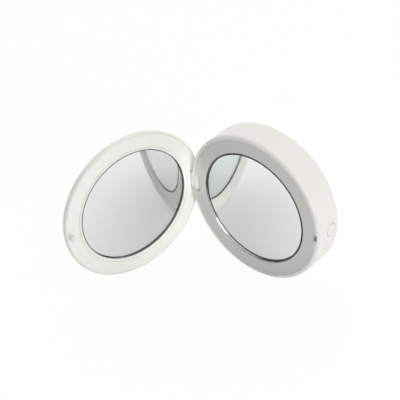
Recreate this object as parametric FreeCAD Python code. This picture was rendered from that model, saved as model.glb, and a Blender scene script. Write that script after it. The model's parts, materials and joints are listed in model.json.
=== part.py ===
import FreeCAD, Part
import math
import os

# A round two-mirror compact with a lamp ring in its thick base, standing open on its two rims.
# It is drawn closed, in a case frame: X runs from the hinge to the catch, Y from the base's mirror
# face into the base, and Z up along the hinge. The lid is then swung open and the whole is set
# down with the middle of its footprint at the origin. Lengths are millimetres, angles degrees.

# Case halves
case_diameter = 85.0
base_depth = 18.4
closed_gap = 0.3
opening_angle = 102.0
stop_margin = 8.0
side_wall = 2.4
back_wall = 1.8
lid_wall = 1.7
lid_inner_gap = 0.4
base_front_round = 1.7
base_back_round = 3.2
lid_front_round = 0.5
lid_rim_flat = 1.2
lid_rim_width = 0.8
lid_crown_radius = 1600.0
cut_overrun = 2.0

# Mirrors, their tape and the bezels round them
ring_width = 7.4
glass_thickness = 1.5
mirror_recess = 0.6
mirror_gap = 0.35
tape_thickness = 0.3
tape_margin = 1.4
bezel_thickness = 1.2
bezel_fit = 0.1
base_bevel_width = 0.5
base_bevel_depth = 0.3
lid_bevel_width = 1.9
lid_bevel_depth = 0.45
lid_seat_width = 3.6
lid_seat_thickness = 0.8
lid_seat_wall = 1.2
lid_ledge_width = 3.4

# Light carrier and lamps
carrier_fit = 0.2
carrier_plate = 1.6
channel_depth = 3.4
channel_floor = 1.2
channel_wall = 1.0
lamp_board_thickness = 0.8
lamp_board_gap = 0.3
lamp_end_gap = 1.6
lamps_per_board = 7
lamp_length = 3.5
lamp_width = 2.8
lamp_height = 0.8

# Hinge
hinge_inset = 2.8
hinge_swing_gap = 0.75
lug_radius = 2.7
lug_height = 9.6
lug_end_gap = 0.3
lug_bezel_gap = 0.5
hinge_clearance = 0.6
pocket_wall = 1.6
cheek_length = 4.5
pin_diameter = 1.8
pin_running_fit = 0.05
pin_seat_fit = 0.01
pin_end_gap = 0.4

# Catch hook on the lid
hook_width = 3.2
hook_thickness = 1.2
hook_length = 3.0
hook_rim_lap = 0.75
hook_fit = 0.1
hook_foot_length = 3.0
hook_foot_thickness = 0.9
hook_foot_margin = 1.2
barb_reach = 0.55
barb_height = 0.75
barb_land = 0.25
slot_side_gap = 0.4
slot_inner_gap = 0.25
slot_outer_gap = 0.3

# Latch slide, button and spring in the base
latch_travel = 1.2
latch_room = 1.8
lip_gap = 0.1
lip_reach = 1.75
lip_bevel = 0.3
slide_thickness = 1.6
slide_width = 8.4
slide_end_gap = 0.3
guide_thickness = 1.2
guide_gap = 0.25
guide_height = 8.0
button_diameter = 7.2
button_proud = 0.5
button_round = 0.8
button_fit = 0.15
button_pad = 0.8
button_pad_margin = 1.0
flange_margin = 0.9
flange_thickness = 1.0
flange_gap = 0.15
flange_floor_gap = 1.3
button_stem_diameter = 4.0
spring_room = 5.4
spring_diameter = 3.8
spring_wire = 0.45
spring_turns = 4
spring_end_gap = 0.05
seat_thickness = 1.6
seat_width = 10.0
seat_head_gap = 0.5
nub_diameter = 2.4
seat_nub_length = 1.5
slide_nub_length = 1.0

# Lamp switch behind the slide
switch_front_gap = 0.6
switch_width = 6.0
switch_height = 2.5
plunger_diameter = 1.4
plunger_grip = 1.2
plunger_fit = 0.08
plunger_end_gap = 0.2

# Battery
battery_width = 30.0
battery_round = 2.0
battery_offset_x = 1.0
battery_head_gap = 2.8
battery_boss_gap = 0.8
battery_board_gap = 1.9
pad_thickness = 0.5
pad_margin = 3.0

# Main board with its charging socket
board_angle = -135.0
board_length = 17.0
board_width = 20.0
board_thickness = 1.0
board_wall_gap = 0.8
socket_head_gap = 1.1
socket_width = 9.0
socket_height = 3.2
socket_length = 7.4
socket_wall = 0.3
socket_recess = 0.9
socket_hole_gap = 0.2
socket_round_share = 0.4
tongue_width = 6.7
tongue_thickness = 0.7
tongue_length = 4.6
driver_size = 5.0
driver_height = 1.0
driver_place_shares = (0.40, 0.0)
coil_size = 4.0
coil_height = 1.9
coil_place_shares = (0.35, -0.25)
capacitor_length = 2.0
capacitor_width = 1.2
capacitor_height = 1.0
capacitor_place_shares = ((0.66, -0.12), (0.66, 0.0), (0.66, 0.12))

# Screws: the light carrier's and the main board's
screw_inset = 4.3
screw_angles = (62.0, 118.0, -62.0, 180.0)
screw_diameter = 2.0
screw_length = 6.0
screw_head_diameter = 3.8
screw_head_height = 1.2
screw_head_sink = 0.1
screw_seat = 1.8
screw_wall = 1.5
screw_fit = 0.02
screw_hole_gap = 0.1
pilot_extra = 1.0
drive_width = 0.5
drive_length_share = 0.6
drive_depth_share = 0.5
board_screw_diameter = 1.6
board_screw_floor = 0.3
board_screw_head_diameter = 3.0
board_screw_head_height = 1.0
board_screw_place_shares = ((0.59, 0.4), (0.59, -0.4))

# Insulated leads inside the base
lead_diameter = 0.8
lead_hole_gap = 0.25
bend_share = 0.45
battery_lead_rises = (4.0, 1.5)
battery_lead_runs = (3.5, 2.5)
battery_lead_end_shares = ((0.135, -0.283), (0.14, -0.145))
switch_lead_starts = (1.3, 2.7)
switch_lead_drops = (5.0, 5.8)
switch_lead_bend_x = 4.7
switch_lead_bend_rises = (4.3, 2.8)
switch_lead_bend_lift = 0.9
switch_lead_boss_rises = (3.3, 1.8)
switch_lead_boss_lift = 2.1
switch_lead_corner_x = 5.6
switch_lead_corner_rises = (2.1, 0.5)
switch_lead_end_shares = ((0.252, 0.311), (0.244, 0.438))
lamp_lead_gap = 1.4
jumper_lead_gaps = (1.3, 2.5)
jumper_lead_drop = 1.8

# Radii and levels worked out from the sizes above
case_radius = case_diameter / 2
inner_radius = case_radius - side_wall
back_inside = base_depth - back_wall
bezel_outer = inner_radius - bezel_fit
bezel_inner = bezel_outer - ring_width
lid_rim_inner = case_radius - lid_rim_width
mirror_radius = bezel_inner - mirror_gap
tape_radius = mirror_radius - tape_margin
glass_back = mirror_recess + glass_thickness
tape_back = glass_back + tape_thickness
plate_bottom = tape_back + carrier_plate
floor_top = bezel_thickness + channel_depth
floor_bottom = floor_top + channel_floor
carrier_radius = inner_radius - carrier_fit
channel_inner = bezel_inner + channel_wall
channel_outer = carrier_radius - channel_wall
lamp_board_inner = channel_inner + lamp_board_gap
lamp_board_outer = channel_outer - lamp_board_gap
lamp_board_top = floor_top - lamp_board_thickness
lamp_board_middle = (lamp_board_inner + lamp_board_outer) / 2
lid_seat_bottom = tape_back + lid_seat_thickness
lid_floor = lid_seat_bottom + lid_inner_gap
lid_depth = lid_floor + lid_wall

# Hinge places
hinge_x = hinge_inset - case_radius
lid_reach = hinge_inset + hinge_swing_gap
hinge_y = lid_reach - closed_gap
pocket_half = lug_height / 2 + lug_end_gap
pocket_inner_x = hinge_x + lug_radius + hinge_clearance
block_inner_x = pocket_inner_x + pocket_wall
block_half = pocket_half + cheek_length
past_square = math.radians(opening_angle + stop_margin - 90)
lug_swing = lug_radius * math.cos(past_square) + lid_reach * math.sin(past_square)
pocket_floor = hinge_y + lug_swing + hinge_clearance
pin_radius = pin_diameter / 2
lamp_span_start = math.degrees(math.asin((block_half + carrier_fit + lamp_end_gap) / lamp_board_inner))
lamp_span_end = 180 - lamp_span_start

# Catch and latch places
hook_outer_x = inner_radius + hook_rim_lap
hook_inner_x = hook_outer_x - hook_thickness
barb_x = hook_inner_x - barb_reach
hook_tip = hook_length - closed_gap
barb_top = hook_tip - barb_height
slot_inner_x = barb_x - slot_inner_gap
slot_outer_x = hook_outer_x + slot_outer_gap
slot_half = hook_width / 2 + slot_side_gap
lip_x = hook_inner_x - hook_fit
lip_top = bezel_thickness + lip_gap
lip_bottom = barb_top - lip_gap
slide_outer_x = lip_x - lip_reach
slide_inner_x = slide_outer_x - slide_thickness
slide_bottom = back_inside - slide_end_gap
seat_x = slide_inner_x - spring_room
button_radius = button_diameter / 2
flange_radius = button_radius + flange_margin
button_depth = back_inside - flange_floor_gap - flange_radius
flange_outer_x = inner_radius - button_pad - flange_gap
flange_inner_x = flange_outer_x - flange_thickness
switch_level = back_inside - switch_height / 2
switch_length = spring_room - latch_travel - switch_front_gap
plunger_length = latch_travel + switch_front_gap + plunger_grip

# Screw, board and battery places
screw_circle_radius = mirror_radius - screw_inset
screw_seat_level = tape_back + screw_head_sink + screw_head_height
boss_top = screw_seat_level + screw_seat
boss_radius = screw_diameter / 2 + screw_wall
socket_depth = floor_bottom + socket_head_gap + socket_height / 2
board_front = socket_depth + socket_height / 2
board_back = board_front + board_thickness
board_outer = math.sqrt(inner_radius ** 2 - (board_width / 2) ** 2) - board_wall_gap
board_inner = board_outer - board_length
socket_mouth = case_radius - socket_recess
socket_back = socket_mouth - socket_length
board_screw_length = back_inside - board_screw_floor - board_front
board_turn = math.radians(board_angle)
boss_x = screw_circle_radius * math.cos(math.radians(screw_angles[0]))
boss_level = screw_circle_radius * math.sin(math.radians(screw_angles[0]))
battery_low_x = battery_offset_x - battery_width / 2
battery_high_x = battery_offset_x + battery_width / 2
battery_corner = board_inner - battery_board_gap - battery_low_x * math.cos(board_turn)
battery_low_z = battery_corner / math.sin(board_turn)
battery_high_z = boss_level - boss_radius - battery_boss_gap
battery_back = back_inside - pad_thickness
battery_front = plate_bottom + battery_head_gap

Vector = FreeCAD.Vector
origin = Vector(0, 0, 0)
across = Vector(1, 0, 0)
inward = Vector(0, 1, 0)
upward = Vector(0, 0, 1)


def corner_round(before, corner, after, radius):
    """Tangent points and middle point of the arc that rounds a corner."""
    to_before = (before - corner).normalize()
    to_after = (after - corner).normalize()
    half_angle = to_before.getAngle(to_after) / 2
    reach = radius / math.tan(half_angle)
    bisector = (to_before + to_after).normalize()
    middle = corner + bisector * (radius / math.sin(half_angle) - radius)
    return corner + to_before * reach, middle, corner + to_after * reach


def outline_face(corners):
    """Face in the XY plane from (x, y) corners, or (x, y, radius) for a rounded one."""
    points = [Vector(corner[0], corner[1], 0) for corner in corners]
    edges = []
    ends = []
    for index, corner in enumerate(corners):
        start = end = points[index]
        if len(corner) > 2:
            after = points[(index + 1) % len(points)]
            start, middle, end = corner_round(points[index - 1], points[index], after, corner[2])
            edges.append(Part.Arc(start, middle, end).toShape())
        ends.append((start, end))
    for index, (start, end) in enumerate(ends):
        last = ends[index - 1][1]
        if last.distanceToPoint(start) > Part.Precision.confusion():
            edges.append(Part.LineSegment(last, start).toShape())
    return Part.Face(Part.Wire(Part.__sortEdges__(edges)))


def turned(corners, span=360):
    """Solid turned about the disc axis from (radius, depth) corners."""
    return outline_face(corners).revolve(origin, inward, span)


def rod(radius, start, end):
    """Round bar from one point to another."""
    return Part.makeCylinder(radius, (end - start).Length, start, end - start)


def slab(x_low, x_high, y_low, y_high, half_height):
    """Box that lies evenly above and below the hinge-to-catch plane."""
    corner = Vector(x_low, y_low, -half_height)
    return Part.makeBox(x_high - x_low, y_high - y_low, 2 * half_height, corner)


def extruded(corners, height):
    """Outline in the XY plane, made solid evenly above and below it."""
    solid = outline_face(corners).extrude(upward * height)
    return solid.translated(upward * (-height / 2))


def eased(solid, radius, direction):
    """Solid with its edges along one direction rounded."""
    edges = []
    for edge in solid.Edges:
        heading = edge.tangentAt(edge.FirstParameter)
        if heading.cross(direction).Length < Part.Precision.confusion():
            edges.append(edge)
    return solid.makeFillet(radius, edges)


def spun(shape, angle):
    """Shape turned about the disc axis, from the catch towards the top."""
    return shape.rotated(origin, inward, -angle)


def polar(radius, angle, depth):
    """Point at a radius, angle and depth in the case."""
    turn = math.radians(angle)
    return Vector(radius * math.cos(turn), depth, radius * math.sin(turn))


def lid_level(depth):
    """Level in the closed case of a depth behind the lid's face."""
    return -closed_gap - depth


def board_place(shares):
    """Radial and sideways place on the main board from its shares of length and width."""
    return board_inner + shares[0] * board_length, shares[1] * board_width


def board_point(shares):
    """Middle of a lead that lies on the main board at a place given by its shares."""
    radial, sideways = board_place(shares)
    point = Vector(radial, board_front - lead_diameter / 2, sideways)
    return FreeCAD.Rotation(inward, -board_angle).multVec(point)


def screw(diameter, length, head_diameter, head_height):
    """Pan-head screw along Y, its head's seat at zero and a cross drive in the head."""
    shape = turned((
        (0, -head_height),
        (head_diameter / 2, -head_height, head_height / 2),
        (head_diameter / 2, 0),
        (diameter / 2, 0),
        (diameter / 2, length - diameter / 2),
        (0, length),
    ))
    drive_half = head_diameter * drive_length_share / 2
    bottom = head_height * drive_depth_share - head_height
    slot = slab(-drive_half, drive_half, -head_height - cut_overrun, bottom, drive_width / 2)
    return shape.cut([slot, spun(slot, 90)])


def lead(points):
    """Insulated wire along a route of points, with each corner bent as wide as its two runs allow."""
    edges = []
    start = points[0]
    for before, corner, after in zip(points, points[1:], points[2:]):
        run = min((corner - before).Length, (after - corner).Length)
        turn = (corner - before).getAngle(after - corner)
        radius = bend_share * run / math.tan(turn / 2)
        first, middle, last = corner_round(before, corner, after, radius)
        edges.append(Part.LineSegment(start, first).toShape())
        edges.append(Part.Arc(first, middle, last).toShape())
        start = last
        print(f"lead bend radius {radius:.2f}")
    edges.append(Part.LineSegment(start, points[-1]).toShape())
    path = Part.Wire(edges)
    section = Part.Wire(Part.makeCircle(lead_diameter / 2, points[0], points[1] - points[0]))
    solid = path.makePipeShell([section], True, False)
    filled = solid.Volume / (Part.Face(section).Area * path.Length)
    print(f"lead length {path.Length:.1f}, volume over section times length {filled:.4f}")
    return solid


def battery_leads():
    """Two leads from the battery's side to the main board."""
    wires = []
    for rise, run, shares in zip(battery_lead_rises, battery_lead_runs, battery_lead_end_shares):
        end = board_point(shares)
        start = Vector(battery_low_x, end.y, battery_low_z + rise)
        wires.append(lead((start, start - across * run, end)))
    return Part.makeCompound(wires)


def switch_leads():
    """Two leads from the lamp switch, below the battery, to the main board."""
    boss_edge = boss_radius - boss_level
    corner = board_point((0, 1 / 2))
    wires = []
    for place, shares in enumerate(switch_lead_end_shares):
        start = Vector(seat_x + switch_lead_starts[place], switch_level, -switch_width / 2)
        below = -seat_width / 2 - switch_lead_drops[place]
        bend_z = boss_edge + switch_lead_bend_rises[place]
        boss_z = boss_edge + switch_lead_boss_rises[place]
        wires.append(lead((
            start,
            Vector(start.x, start.y, below),
            Vector(seat_x - switch_lead_bend_x, switch_level - switch_lead_bend_lift, bend_z),
            Vector(boss_x, switch_level - switch_lead_boss_lift, boss_z),
            corner + Vector(switch_lead_corner_x, 0, switch_lead_corner_rises[place]),
            board_point(shares),
        )))
    return Part.makeCompound(wires)


def lamp_lead_angles():
    """Angles of the two lamp leads, one on either side of the charging socket."""
    spread = math.degrees(math.asin((socket_width / 2 + lamp_lead_gap) / lamp_board_middle))
    return board_angle - spread, board_angle + spread


def lamp_leads():
    """Two straight leads from the lower lamp board to the main board."""
    wires = []
    for angle in lamp_lead_angles():
        start = polar(lamp_board_middle, angle, floor_top)
        wires.append(lead((start, polar(lamp_board_middle, angle, board_front))))
    return Part.makeCompound(wires)


def jumper_lead_angles():
    """Angles of the jumper leads' lower ends, beside the hinge block."""
    reaches = [-(block_inner_x + gap) / lamp_board_middle for gap in jumper_lead_gaps]
    return [math.degrees(math.acos(reach)) - 180 for reach in reaches]


def jumper_leads():
    """Two leads that join the lamp boards past the hinge block."""
    level = floor_bottom + jumper_lead_drop
    wires = []
    for angle in jumper_lead_angles():
        wires.append(lead((
            polar(lamp_board_middle, angle, floor_top),
            polar(lamp_board_middle, angle, level),
            polar(lamp_board_middle, -angle, level),
            polar(lamp_board_middle, -angle, floor_top),
        )))
    return Part.makeCompound(wires)


def base_outside():
    """Outer form of the base, filled."""
    return turned((
        (0, 0),
        (case_radius, 0, base_front_round),
        (case_radius, base_depth, base_back_round),
        (0, base_depth),
    ))


def hinge_block(outside):
    """Two cheeks and a floor round the hinge pocket, inside the base's outer form."""
    block = slab(-case_radius, block_inner_x, bezel_thickness, pocket_floor + pocket_wall, block_half)
    return block.common(outside)


def hinge_cuts():
    """Pocket for the lid's lug, and the bore that the pin is driven into from below."""
    pocket = slab(-case_radius - cut_overrun, pocket_inner_x, -cut_overrun, pocket_floor, pocket_half)
    top = Vector(hinge_x, hinge_y, block_half - pin_end_gap)
    bore = rod(pin_radius + pin_seat_fit, Vector(hinge_x, hinge_y, -case_radius), top)
    return [pocket, bore]


def carrier_boss(angle):
    """Post on the back wall that takes one of the carrier's screws."""
    top = polar(screw_circle_radius, angle, boss_top)
    return rod(boss_radius, top, polar(screw_circle_radius, angle, back_inside))


def carrier_pilot(angle):
    """Screw hole down one of the carrier posts."""
    bottom = screw_seat_level + screw_length + pilot_extra
    start = polar(screw_circle_radius, angle, boss_top - cut_overrun)
    return rod(screw_diameter / 2 + screw_fit, start, polar(screw_circle_radius, angle, bottom))


def board_post(shares):
    """Post on the back wall that the main board is screwed to."""
    radial, sideways = board_place(shares)
    radius = board_screw_diameter / 2 + screw_wall
    post = rod(radius, Vector(radial, board_back, sideways), Vector(radial, back_inside, sideways))
    hole_start = Vector(radial, board_front, sideways)
    hole = rod(board_screw_diameter / 2 + screw_fit, hole_start, Vector(radial, back_inside, sideways))
    return spun(post.cut(hole), board_angle)


def button_seat():
    """Flat pad inside the side wall that the button's flange comes up to."""
    start = Vector(inner_radius - button_pad, button_depth, 0)
    pad = rod(flange_radius + button_pad_margin, start, Vector(case_radius, button_depth, 0))
    wall_middle = case_radius - side_wall / 2
    room = turned((
        (0, bezel_thickness),
        (wall_middle, bezel_thickness),
        (wall_middle, back_inside),
        (0, back_inside),
    ))
    return pad.common(room)


def spring_seat():
    """Rib that the latch spring and the lamp switch stand against, with the spring's nub."""
    rib = slab(seat_x - seat_thickness, seat_x, plate_bottom + seat_head_gap, back_inside, seat_width / 2)
    start = Vector(seat_x - seat_thickness / 2, button_depth, 0)
    nub = rod(nub_diameter / 2, start, Vector(seat_x + seat_nub_length, button_depth, 0))
    return rib.fuse(nub)


def slide_guides():
    """Two ribs that the latch slide runs between."""
    start_x = slide_inner_x - latch_travel
    end_x = flange_inner_x - latch_travel - guide_gap
    low_corner = Vector(start_x, back_inside - guide_height, slide_width / 2 + guide_gap)
    rib = Part.makeBox(end_x - start_x, guide_height, guide_thickness, low_corner)
    return [rib, rib.mirror(origin, upward)]


def socket_hole():
    """Rounded hole through the side wall for the charging socket."""
    half_width = socket_width / 2 + socket_hole_gap
    half_height = socket_height / 2 + socket_hole_gap
    top = socket_depth - half_height
    bottom = socket_depth + half_height
    hole = slab(board_outer, case_radius + cut_overrun, top, bottom, half_width)
    return spun(eased(hole, socket_height * socket_round_share, across), board_angle)


def base_shell():
    """Cup-shaped casing of the base."""
    outside = base_outside()
    cavity = turned((
        (0, -cut_overrun),
        (inner_radius, -cut_overrun),
        (inner_radius, back_inside),
        (0, back_inside),
    ))
    posts = [carrier_boss(angle) for angle in screw_angles]
    posts += [board_post(shares) for shares in board_screw_place_shares]
    inside = [hinge_block(outside), button_seat(), spring_seat()]
    shell = outside.cut(cavity).fuse(posts + inside + slide_guides())
    button_start = Vector(slide_outer_x, button_depth, 0)
    button_hole = rod(button_radius + button_fit, button_start, Vector(case_diameter, button_depth, 0))
    hook_room = slab(slot_inner_x, slot_outer_x, -cut_overrun, hook_tip + slot_outer_gap, slot_half)
    cuts = hinge_cuts() + [button_hole, socket_hole(), hook_room]
    cuts += [carrier_pilot(angle) for angle in screw_angles]
    return shell.cut(cuts).removeSplitter()


def base_bezel():
    """Milky ring over the lamps, notched for the hinge lug and for the hook's slot."""
    ring = turned((
        (bezel_inner, base_bevel_depth),
        (bezel_inner + base_bevel_width, 0),
        (bezel_outer, 0),
        (bezel_outer, bezel_thickness),
        (bezel_inner, bezel_thickness),
    ))
    lug_notch = slab(-case_radius, pocket_inner_x, -cut_overrun, bezel_thickness + cut_overrun, pocket_half)
    slot = slab(slot_inner_x, case_radius, -cut_overrun, bezel_thickness + cut_overrun, slot_half)
    return ring.cut([lug_notch, slot])


def mirror_disc(front, back):
    """Round glass plate between two levels."""
    return rod(mirror_radius, Vector(0, front, 0), Vector(0, back, 0))


def light_carrier():
    """Inner frame: the plate behind the mirror and the channel for the lamps round it."""
    ring_wall = channel_inner - channel_wall
    carrier = turned((
        (0, tape_back),
        (ring_wall, tape_back),
        (ring_wall, bezel_thickness),
        (channel_inner, bezel_thickness),
        (channel_inner, floor_top),
        (channel_outer, floor_top),
        (channel_outer, bezel_thickness),
        (carrier_radius, bezel_thickness),
        (carrier_radius, floor_bottom),
        (ring_wall, floor_bottom),
        (ring_wall, plate_bottom),
        (0, plate_bottom),
    ))
    pads = []
    cuts = []
    for angle in screw_angles:
        top = polar(screw_circle_radius, angle, tape_back)
        seat = polar(screw_circle_radius, angle, screw_seat_level)
        bottom = polar(screw_circle_radius, angle, boss_top)
        pads.append(rod(boss_radius, top, bottom))
        cuts.append(rod(screw_head_diameter / 2 + screw_hole_gap, top, seat))
        cuts.append(rod(screw_diameter / 2 + screw_hole_gap, seat, bottom))
    hinge_room = block_half + carrier_fit
    cuts.append(slab(-case_radius, block_inner_x + carrier_fit, 0, base_depth, hinge_room))
    latch_angle = math.degrees(math.asin((slide_width / 2 + latch_room) / slide_inner_x))
    latch_window = turned((
        (ring_wall, 0),
        (case_radius, 0),
        (case_radius, base_depth),
        (ring_wall, base_depth),
    ), 2 * latch_angle)
    cuts.append(spun(latch_window, latch_angle))
    hole_angles = list(lamp_lead_angles())
    for angle in jumper_lead_angles():
        hole_angles += [angle, -angle]
    for angle in hole_angles:
        start = polar(lamp_board_middle, angle, floor_top)
        cuts.append(rod(lead_diameter / 2 + lead_hole_gap, start, start + inward * channel_floor))
    return carrier.fuse(pads).cut(cuts).removeSplitter()


def lamp_board(end_angle):
    """Arc-shaped board in the channel, ending at an angle."""
    span = lamp_span_end - lamp_span_start
    arc = turned((
        (lamp_board_inner, lamp_board_top),
        (lamp_board_outer, lamp_board_top),
        (lamp_board_outer, floor_top),
        (lamp_board_inner, floor_top),
    ), span)
    return spun(arc, end_angle)


def lamps(start_angle):
    """The lamps of one board, evenly spread along it."""
    step = (lamp_span_end - lamp_span_start) / lamps_per_board
    inner = lamp_board_middle - lamp_width / 2
    lamp = slab(inner, inner + lamp_width, lamp_board_top - lamp_height, lamp_board_top, lamp_length / 2)
    angles = [start_angle + step * (place + 1 / 2) for place in range(lamps_per_board)]
    return Part.makeCompound([spun(lamp, angle) for angle in angles])


def battery_block(low, high, margin):
    """Rounded block where the battery lies, drawn in by a margin."""
    width = battery_high_x - battery_low_x - 2 * margin
    height = battery_high_z - battery_low_z - 2 * margin
    corner = Vector(battery_low_x + margin, low, battery_low_z + margin)
    return eased(Part.makeBox(width, high - low, height, corner), battery_round, inward)


def main_board():
    """Charging board with its two screw holes."""
    board = slab(board_inner, board_outer, board_front, board_back, board_width / 2)
    holes = []
    for shares in board_screw_place_shares:
        radial, sideways = board_place(shares)
        start = Vector(radial, board_front, sideways)
        end = Vector(radial, board_back, sideways)
        holes.append(rod(board_screw_diameter / 2 + screw_hole_gap, start, end))
    return spun(board.cut(holes), board_angle)


def chip(shares, length, width, height):
    """One component standing on the main board."""
    radial, sideways = board_place(shares)
    block = slab(radial - length / 2, radial + length / 2, board_front - height, board_front, width / 2)
    return spun(block.translated(upward * sideways), board_angle)


def board_chips():
    """Driver, coil and capacitors on the main board."""
    chips = [
        chip(driver_place_shares, driver_size, driver_size, driver_height),
        chip(coil_place_shares, coil_size, coil_size, coil_height),
    ]
    for shares in capacitor_place_shares:
        chips.append(chip(shares, capacitor_width, capacitor_length, capacitor_height))
    return Part.makeCompound(chips)


def charge_socket():
    """Metal shell of the charging socket, open at its mouth."""
    half_width = socket_width / 2
    half_height = socket_height / 2
    radius = socket_height * socket_round_share
    top = socket_depth - half_height
    bottom = socket_depth + half_height
    shell = slab(socket_back, socket_mouth, top, bottom, half_width)
    hollow = slab(
        socket_back + socket_wall,
        socket_mouth + cut_overrun,
        top + socket_wall,
        bottom - socket_wall,
        half_width - socket_wall,
    )
    shell = eased(shell, radius, across).cut(eased(hollow, radius - socket_wall, across))
    return spun(shell, board_angle)


def socket_tongue():
    """Contact tongue that stands on the socket's back wall."""
    start = socket_back + socket_wall
    top = socket_depth - tongue_thickness / 2
    tongue = slab(start, start + tongue_length, top, top + tongue_thickness, tongue_width / 2)
    return spun(tongue, board_angle)


def carrier_screws():
    """The carrier's screws in their counterbores."""
    one = screw(screw_diameter, screw_length, screw_head_diameter, screw_head_height)
    places = [polar(screw_circle_radius, angle, screw_seat_level) for angle in screw_angles]
    return Part.makeCompound([one.translated(place) for place in places])


def board_screws():
    """The main board's screws."""
    head = (board_screw_head_diameter, board_screw_head_height)
    one = screw(board_screw_diameter, board_screw_length, *head)
    placed = []
    for shares in board_screw_place_shares:
        radial, sideways = board_place(shares)
        placed.append(spun(one.translated(Vector(radial, board_front, sideways)), board_angle))
    return Part.makeCompound(placed)


def latch_slide():
    """Plate behind the button, with the lip that reaches over the hook's barb."""
    plate = extruded((
        (slide_inner_x, lip_top),
        (lip_x - lip_bevel, lip_top),
        (lip_x, lip_top + lip_bevel),
        (lip_x, lip_bottom),
        (slide_outer_x, lip_bottom),
        (slide_outer_x, slide_bottom),
        (slide_inner_x, slide_bottom),
    ), slide_width)
    end = Vector(slide_inner_x + slide_thickness / 2, button_depth, 0)
    nub = rod(nub_diameter / 2, Vector(slide_inner_x - slide_nub_length, button_depth, 0), end)
    return plate.fuse(nub).removeSplitter()


def latch_button():
    """Round push button with its flange and stem."""
    face = outline_face((
        (slide_outer_x, button_depth),
        (slide_outer_x, button_depth + button_stem_diameter / 2),
        (flange_inner_x, button_depth + button_stem_diameter / 2),
        (flange_inner_x, button_depth + flange_radius),
        (flange_outer_x, button_depth + flange_radius),
        (flange_outer_x, button_depth + button_radius),
        (case_radius + button_proud, button_depth + button_radius, button_round),
        (case_radius + button_proud, button_depth),
    ))
    return face.revolve(Vector(0, button_depth, 0), across, 360)


def coil_point(turn):
    """Point and direction of the spring's wire after a number of turns."""
    radius = spring_diameter / 2
    length = spring_room - spring_wire - 2 * spring_end_gap
    pitch = length / spring_turns
    start = seat_x + spring_end_gap + spring_wire / 2
    angle = 2 * math.pi * turn
    point = Vector(start + pitch * turn, button_depth + radius * math.cos(angle), radius * math.sin(angle))
    round_run = 2 * math.pi * radius
    heading = Vector(pitch, -round_run * math.sin(angle), round_run * math.cos(angle)).normalize()
    return point, heading


def arc_between(start, corner, end):
    """Arc that leaves one point and reaches another along the lines through a corner."""
    middle = (start + end) / 2
    half_chord = start.distanceToPoint(end) / 2
    lean = math.acos(half_chord / start.distanceToPoint(corner))
    crest = middle + (corner - middle).normalize() * (half_chord * math.tan(lean / 2))
    return Part.Arc(start, crest, end).toShape()


def biarc(start, start_heading, end, end_heading):
    """Two tangent arcs that join two points along their headings."""
    chord = end - start
    spread = 2 * (1 - start_heading.dot(end_heading))
    along = chord.dot(start_heading + end_heading)
    reach = (math.sqrt(along ** 2 + spread * chord.dot(chord)) - along) / spread
    first = start + start_heading * reach
    second = end - end_heading * reach
    join = (first + second) / 2
    return [arc_between(start, first, join), arc_between(join, second, end)]


def latch_spring():
    """Coil spring between the seat and the slide, one unbroken wire."""
    quarters = [coil_point(step / 4) for step in range(4 * spring_turns + 1)]
    edges = []
    for (start, start_heading), (end, end_heading) in zip(quarters, quarters[1:]):
        edges += biarc(start, start_heading, end, end_heading)
    point, heading = quarters[0]
    section = Part.Wire(Part.makeCircle(spring_wire / 2, point, heading))
    pairs = zip(quarters, quarters[4:])
    least = min(near[0].distanceToPoint(far[0]) for near, far in pairs) - spring_wire
    print(f"latch spring least gap to itself {least:.2f}")
    return Part.Wire(edges).makePipeShell([section], True, False)


def lamp_switch():
    """Body of the push switch on the back wall, bored for its plunger."""
    body = slab(seat_x, seat_x + switch_length, back_inside - switch_height, back_inside, switch_width / 2)
    bore_start = slide_inner_x - plunger_length - latch_travel - plunger_end_gap
    start = Vector(bore_start, switch_level, 0)
    bore = rod(plunger_diameter / 2 + plunger_fit, start, Vector(seat_x + switch_length, switch_level, 0))
    return body.cut(bore)


def switch_plunger():
    """Plunger that the slide pushes into the switch."""
    start = Vector(slide_inner_x - plunger_length, switch_level, 0)
    return rod(plunger_diameter / 2, start, Vector(slide_inner_x, switch_level, 0))


def hinge_pin():
    """Steel pin through the cheeks and the lug."""
    end = block_half - pin_end_gap
    return rod(pin_radius, Vector(hinge_x, hinge_y, -end), Vector(hinge_x, hinge_y, end))


def lid_outside():
    """Outer form of the closed lid, filled, with a slightly crowned back."""
    crown_middle = lid_depth - lid_crown_radius
    round_depth = lid_front_round + lid_rim_flat
    room = lid_crown_radius ** 2 - case_radius ** 2 - (round_depth - crown_middle) ** 2
    back_round = room / (2 * (lid_crown_radius - case_radius))
    round_x = case_radius - back_round
    lean = math.asin(round_x / (lid_crown_radius - back_round))
    front_x = case_radius - lid_front_round

    def point(x, depth):
        return Vector(x, lid_level(depth), 0)

    def from_crown(angle):
        return point(lid_crown_radius * math.sin(angle), crown_middle + lid_crown_radius * math.cos(angle))

    def from_centre(x, depth, radius, angle):
        return point(x + radius * math.sin(angle), depth + radius * math.cos(angle))

    bend = (lean + math.pi / 2) / 2
    side = point(case_radius, round_depth)
    front_side = point(case_radius, lid_front_round)
    front_middle = from_centre(front_x, lid_front_round, lid_front_round, 3 * math.pi / 4)
    front_end = point(front_x, 0)
    edges = [
        Part.Arc(point(0, lid_depth), from_crown(lean / 2), from_crown(lean)).toShape(),
        Part.Arc(from_crown(lean), from_centre(round_x, round_depth, back_round, bend), side).toShape(),
        Part.LineSegment(side, front_side).toShape(),
        Part.Arc(front_side, front_middle, front_end).toShape(),
        Part.LineSegment(front_end, point(0, 0)).toShape(),
        Part.LineSegment(point(0, 0), point(0, lid_depth)).toShape(),
    ]
    return Part.Face(Part.Wire(edges)).revolve(origin, inward, 360)


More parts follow.
